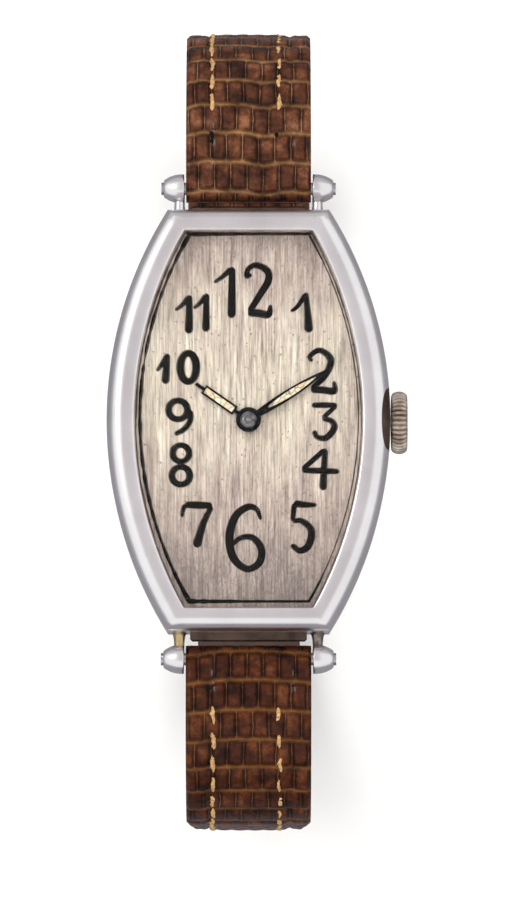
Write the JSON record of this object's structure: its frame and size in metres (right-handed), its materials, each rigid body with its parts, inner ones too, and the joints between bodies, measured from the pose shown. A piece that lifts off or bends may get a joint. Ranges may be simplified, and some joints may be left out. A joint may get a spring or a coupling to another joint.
{
  "type": "tonneau wristwatch",
  "caption": "Hand-wound tonneau wristwatch with polished case, brushed dial, skeleton hands, fluted crown, bullet lugs and an open leather strap with pin buckle.",
  "frame": {"origin": "on the hands' axis, at the resting plane under the strap's flat tail", "axes": "+Z out of the dial, +Y to 12 o'clock, +X to the crown at 3 o'clock"},
  "size_m": [0.0278, 0.0747, 0.0489],
  "materials": {
    "case_steel": "polished",
    "back_steel": "brushed",
    "crystal": "clear",
    "dial_silver": "vertically brushed, aged",
    "blued_steel": "dark gloss",
    "lume": "matte",
    "crown_nickel": "worn nickel",
    "leather": "glossy grained",
    "lining": "smooth",
    "movement_nickel": "frosted",
    "brass": "gilt",
    "steel": "polished",
    "ruby": "clear red"
  },
  "bodies": {
    "case": {"case_band": "case_steel", "bezel": "case_steel", "crystal": "crystal", "dial": "dial_silver", "lug_12_left": "case_steel", "lug_12_right": "case_steel", "lug_6_left": "case_steel", "lug_6_right": "case_steel", "strap_bar_12": "steel", "strap_bar_6": "steel", "stem_tube": "steel", "main_plate": "movement_nickel", "barrel_bridge": "movement_nickel", "train_bridge": "movement_nickel", "balance_cock": "movement_nickel", "pallet_cock": "movement_nickel", "jewels": "ruby", "bridge_screws": "steel", "winding_screws": "steel"},
    "back": {"case_back": "back_steel"},
    "minute": {"minute_hand": "blued_steel", "minute_hand_lume": "lume", "cannon_pinion": "steel"},
    "hour": {"hour_hand": "blued_steel", "hour_hand_lume": "lume", "hour_wheel": "brass"},
    "minute_gear": {"minute_wheel": "brass"},
    "setting_gear": {"setting_wheel": "steel"},
    "barrel": {"mainspring_barrel": "brass", "barrel_lid": "brass", "mainspring": "steel"},
    "centre": {"centre_wheel": "brass"},
    "third": {"third_wheel": "brass"},
    "fourth": {"fourth_wheel": "brass"},
    "escape": {"escape_wheel": "steel"},
    "pallets": {"pallet_fork": "steel"},
    "balance": {"balance_wheel": "brass", "hairspring": "steel"},
    "winding_arbor": {"barrel_arbor": "steel", "ratchet_wheel": "steel"},
    "crown_gear": {"crown_wheel": "steel"},
    "click": {"click": "steel"},
    "winding_gear": {"winding_pinion": "steel"},
    "clutch": {"sliding_pinion": "steel"},
    "crown": {"crown": "crown_nickel", "winding_stem": "steel"},
    "strap_12": {"strap_12_leather": "leather", "strap_12_lining": "lining", "fixed_keeper": "leather"},
    "strap_6": {"strap_6_leather": "leather", "strap_6_lining": "lining"},
    "keeper": {"sliding_keeper": "leather"},
    "buckle": {"buckle_frame": "case_steel", "buckle_bar": "steel"},
    "tongue": {"buckle_tongue": "case_steel"}
  },
  "joints": [
    {"name": "minute_hand_turn", "type": "hinge", "parent": "case", "child": "minute", "pos_m": [0, 0, 0.04659], "axis": [0, 0, -1], "continuous": true},
    {"name": "hour_hand_turn", "type": "hinge", "parent": "case", "child": "hour", "pos_m": [0, 0, 0.04619], "axis": [0, 0, -1], "continuous": true},
    {"name": "minute_wheel_turn", "type": "hinge", "parent": "case", "child": "minute_gear", "pos_m": [0.00257, -0.00135, 0.04499], "axis": [0, 0, -1], "continuous": true},
    {"name": "setting_wheel_turn", "type": "hinge", "parent": "case", "child": "setting_gear", "pos_m": [0.0058, 0, 0.04499], "axis": [0, 0, -1], "continuous": true},
    {"name": "fourth_wheel_turn", "type": "hinge", "parent": "case", "child": "fourth", "pos_m": [-0.00122, -0.00428, 0.04287], "axis": [0, 0, -1], "continuous": true},
    {"name": "third_wheel_turn", "type": "hinge", "parent": "case", "child": "third", "pos_m": [-0.0036, -0.00185, 0.04327], "axis": [0, 0, -1], "continuous": true},
    {"name": "centre_wheel_turn", "type": "hinge", "parent": "case", "child": "centre", "pos_m": [0, 0, 0.04374], "axis": [0, 0, -1], "continuous": true},
    {"name": "barrel_turn", "type": "hinge", "parent": "case", "child": "barrel", "pos_m": [0.003, 0.0061, 0.04274], "axis": [0, 0, -1], "continuous": true},
    {"name": "escape_wheel_turn", "type": "hinge", "parent": "case", "child": "escape", "pos_m": [0.00149, -0.00588, 0.04359], "axis": [0, 0, -1], "continuous": true},
    {"name": "pallet_rock", "type": "hinge", "parent": "case", "child": "pallets", "pos_m": [0.00296, -0.00765, 0.04359], "axis": [0, 0, -1], "range_deg": [-5, 5]},
    {"name": "balance_swing", "type": "hinge", "parent": "case", "child": "balance", "pos_m": [0.00449, -0.00949, 0.04269], "axis": [0, 0, -1], "range_deg": [-270, 270], "deforming": ["hairspring"]},
    {"name": "crown_turn", "type": "hinge", "parent": "case", "child": "clutch", "pos_m": [0.0067, 0, 0.04354], "axis": [1, 0, 0], "continuous": true},
    {"name": "crown_pull", "type": "slide", "parent": "clutch", "child": "crown", "axis": [1, 0, 0], "range_m": [0, 0.0008]},
    {"name": "winding_pinion_turn", "type": "hinge", "parent": "case", "child": "winding_gear", "pos_m": [0.0083, 0, 0.04354], "axis": [1, 0, 0], "continuous": true},
    {"name": "crown_wheel_turn", "type": "hinge", "parent": "case", "child": "crown_gear", "pos_m": [0.0063, 0, 0.04194], "axis": [0, 0, -1], "continuous": true},
    {"name": "ratchet_turn", "type": "hinge", "parent": "case", "child": "winding_arbor", "pos_m": [0.003, 0.0061, 0.04194], "axis": [0, 0, -1], "continuous": true},
    {"name": "click_rock", "type": "hinge", "parent": "case", "child": "click", "pos_m": [-0.00194, 0.00873, 0.04194], "axis": [0, 0, -1], "range_deg": [0, 10]},
    {"name": "back_lift", "type": "slide", "parent": "case", "child": "back", "axis": [0, 0, -1], "range_m": [0, 0.012]},
    {"name": "strap_12_swing", "type": "hinge", "parent": "case", "child": "strap_12", "pos_m": [0, 0.0219, 0.04294], "axis": [1, 0, 0], "range_deg": [0, 70]},
    {"name": "strap_6_swing", "type": "hinge", "parent": "case", "child": "strap_6", "pos_m": [0, -0.0219, 0.04294], "axis": [-1, 0, 0], "range_deg": [0, 70]},
    {"name": "keeper_slide", "type": "slide", "parent": "strap_12", "child": "keeper", "axis": [0, 0.7071, 0.7071], "range_m": [0, 0.004]},
    {"name": "buckle_swing", "type": "hinge", "parent": "strap_12", "child": "buckle", "pos_m": [0, 0.0162, 0.0012], "axis": [-1, 0, 0], "range_deg": [-45, 90]},
    {"name": "tongue_swing", "type": "hinge", "parent": "buckle", "child": "tongue", "pos_m": [0, 0.0162, 0.0012], "axis": [1, 0, 0], "range_deg": [0, 90]}
  ],
  "couplings": [
    {"joint": "hour_hand_turn", "follows": "minute_hand_turn", "ratio": 0.083333},
    {"joint": "minute_wheel_turn", "follows": "minute_hand_turn", "ratio": -0.38095},
    {"joint": "setting_wheel_turn", "follows": "minute_hand_turn", "ratio": 0.57143},
    {"joint": "third_wheel_turn", "follows": "fourth_wheel_turn", "ratio": -0.13333},
    {"joint": "centre_wheel_turn", "follows": "fourth_wheel_turn", "ratio": 0.016667},
    {"joint": "barrel_turn", "follows": "fourth_wheel_turn", "ratio": -0.002381},
    {"joint": "escape_wheel_turn", "follows": "fourth_wheel_turn", "ratio": -8},
    {"joint": "winding_pinion_turn", "follows": "crown_turn", "ratio": 1},
    {"joint": "crown_wheel_turn", "follows": "crown_turn", "ratio": -0.58333},
    {"joint": "ratchet_turn", "follows": "crown_turn", "ratio": 0.35}
  ]
}
